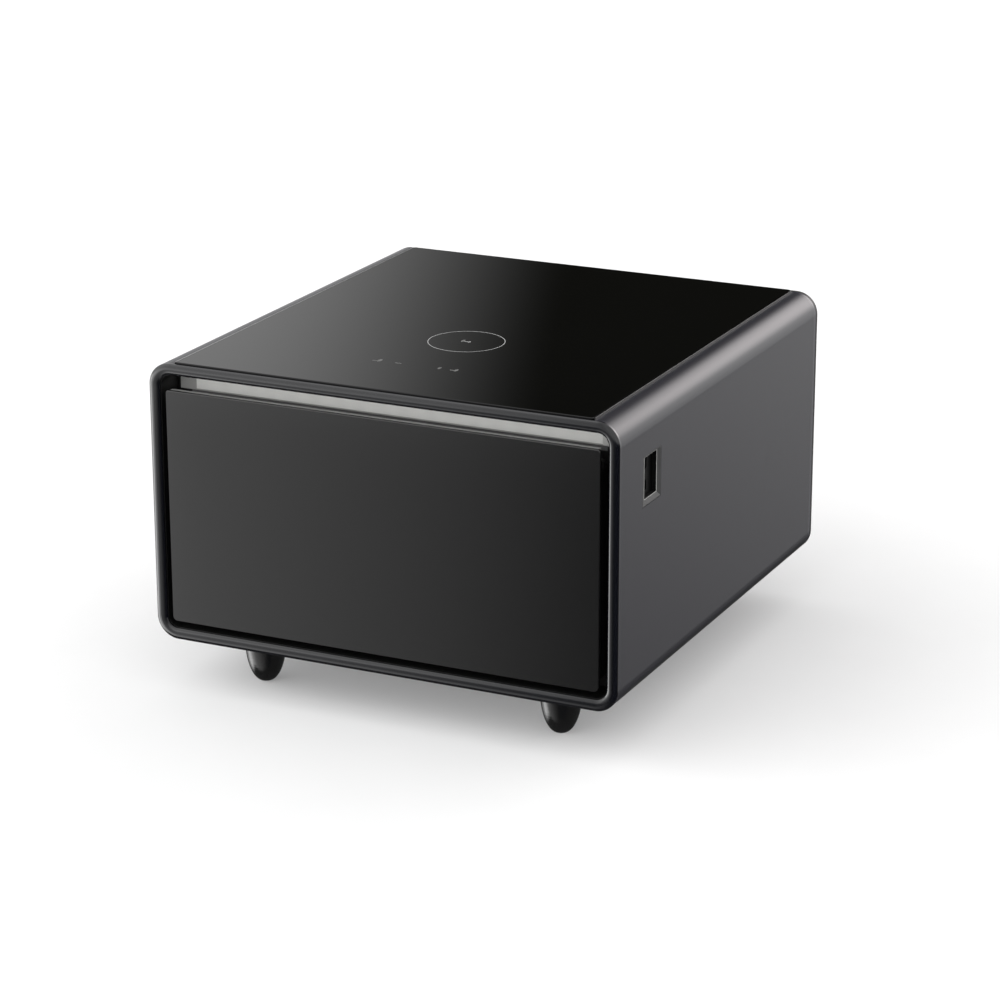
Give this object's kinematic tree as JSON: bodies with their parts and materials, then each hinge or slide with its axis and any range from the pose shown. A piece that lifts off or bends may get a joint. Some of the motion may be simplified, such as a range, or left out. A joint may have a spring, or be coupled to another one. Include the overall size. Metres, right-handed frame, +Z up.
{
  "type": "refrigerator nightstand",
  "caption": "Low rounded refrigerated cabinet with a full-width insulated drawer, black glass top, light bar and short round feet.",
  "frame": {"origin": "middle of the footprint on the floor", "axes": "+Z up, -Y towards the front where the drawer opens, +X to the right seen from the front"},
  "size_m": [0.673, 0.706, 0.46],
  "materials": {
    "wrap_paint": "satin dark grey powder coat",
    "ring_paint": "satin black with a soft sheen",
    "frame_plastic": "deep black moulding",
    "black_glass": "polished black-backed tempered glass",
    "bright_trim": "satin anodised",
    "tray_plastic": "moulded black plastic",
    "copper": "drawn copper",
    "board": "green solder mask",
    "light_cover": "milky light diffuser",
    "light_caps": "satin grey",
    "liner": "white moulded liner",
    "foam": "rigid cream foam",
    "zinc_steel": "zinc plated",
    "foot_gloss": "glossy black",
    "bolt_steel": "plated steel",
    "bezel_gray": "satin grey moulding",
    "port_black": "black moulding",
    "compressor_paint": "black enamel",
    "rubber": "black rubber",
    "fin_metal": "bare aluminium fins",
    "fan_black": "black moulding",
    "fan_white": "white moulding",
    "cover_paint": "dark grey powder coat",
    "panel_face": "matt dark grey coat",
    "door_plastic": "black moulding",
    "seal_rubber": "dark grey soft seal",
    "drawer_plastic": "pale moulded plastic"
  },
  "bodies": {
    "cabinet": {"outer_wrap": "wrap_paint", "front_ring": "ring_paint", "front_frame": "frame_plastic", "seal_frame": "frame_plastic", "glass_top": "black_glass", "glass_edge_trims": "bright_trim", "top_tray": "tray_plastic", "charging_coil": "copper", "charging_board": "board", "touch_board": "board", "light_housing": "bright_trim", "light_diffuser": "light_cover", "light_end_caps": "light_caps", "led_strip": "light_cover", "cabinet_liner": "liner", "insulation": "foam", "bulkhead": "zinc_steel", "base_plate": "zinc_steel", "feet": "foot_gloss", "foot_studs": "bolt_steel", "foot_plates": "zinc_steel", "usb_bezel": "bezel_gray", "usb_ports": "port_black", "compressor": "compressor_paint", "compressor_grommets": "rubber", "compressor_bolts": "bolt_steel", "condenser": "fin_metal", "fan_shroud": "fan_black", "filter_drier": "copper", "discharge_pipe": "copper", "liquid_pipe": "copper", "capillary_tube": "copper", "suction_pipe": "copper", "evaporator": "fin_metal", "evaporator_cover": "liner", "evaporator_fan_mount": "fan_black", "control_board": "board", "power_inlet": "port_black", "rear_cover": "cover_paint", "rear_cover_screws": "bolt_steel", "slide_outer_left": "zinc_steel", "slide_outer_right": "zinc_steel"},
    "drawer": {"drawer_panel": "panel_face", "pull_rail": "light_caps", "drawer_door": "door_plastic", "door_liner": "liner", "door_gasket": "seal_rubber", "drawer_box": "drawer_plastic", "drawer_divider": "drawer_plastic", "slide_inner_left": "zinc_steel", "slide_inner_right": "zinc_steel"},
    "slide_left": {"slide_middle_left": "zinc_steel"},
    "slide_right": {"slide_middle_right": "zinc_steel"},
    "condenser_fan": {"condenser_fan": "fan_black"},
    "evaporator_fan": {"evaporator_fan": "fan_white"}
  },
  "joints": [
    {"name": "drawer_slide", "type": "slide", "parent": "cabinet", "child": "drawer", "axis": [0, -1, 0], "range_m": [0, 0.33]},
    {"name": "left_slide_travel", "type": "slide", "parent": "cabinet", "child": "slide_left", "axis": [0, -1, 0], "range_m": [0, 0.165]},
    {"name": "right_slide_travel", "type": "slide", "parent": "cabinet", "child": "slide_right", "axis": [0, -1, 0], "range_m": [0, 0.165]},
    {"name": "condenser_fan_spin", "type": "hinge", "parent": "cabinet", "child": "condenser_fan", "pos_m": [0.118, 0.247, 0.1435], "axis": [1, 0, 0], "continuous": true},
    {"name": "evaporator_fan_spin", "type": "hinge", "parent": "cabinet", "child": "evaporator_fan", "pos_m": [0, 0.069, 0.3354], "axis": [0, 1, 0], "continuous": true}
  ],
  "couplings": [
    {"joint": "left_slide_travel", "follows": "drawer_slide", "ratio": 0.5},
    {"joint": "right_slide_travel", "follows": "drawer_slide", "ratio": 0.5}
  ]
}
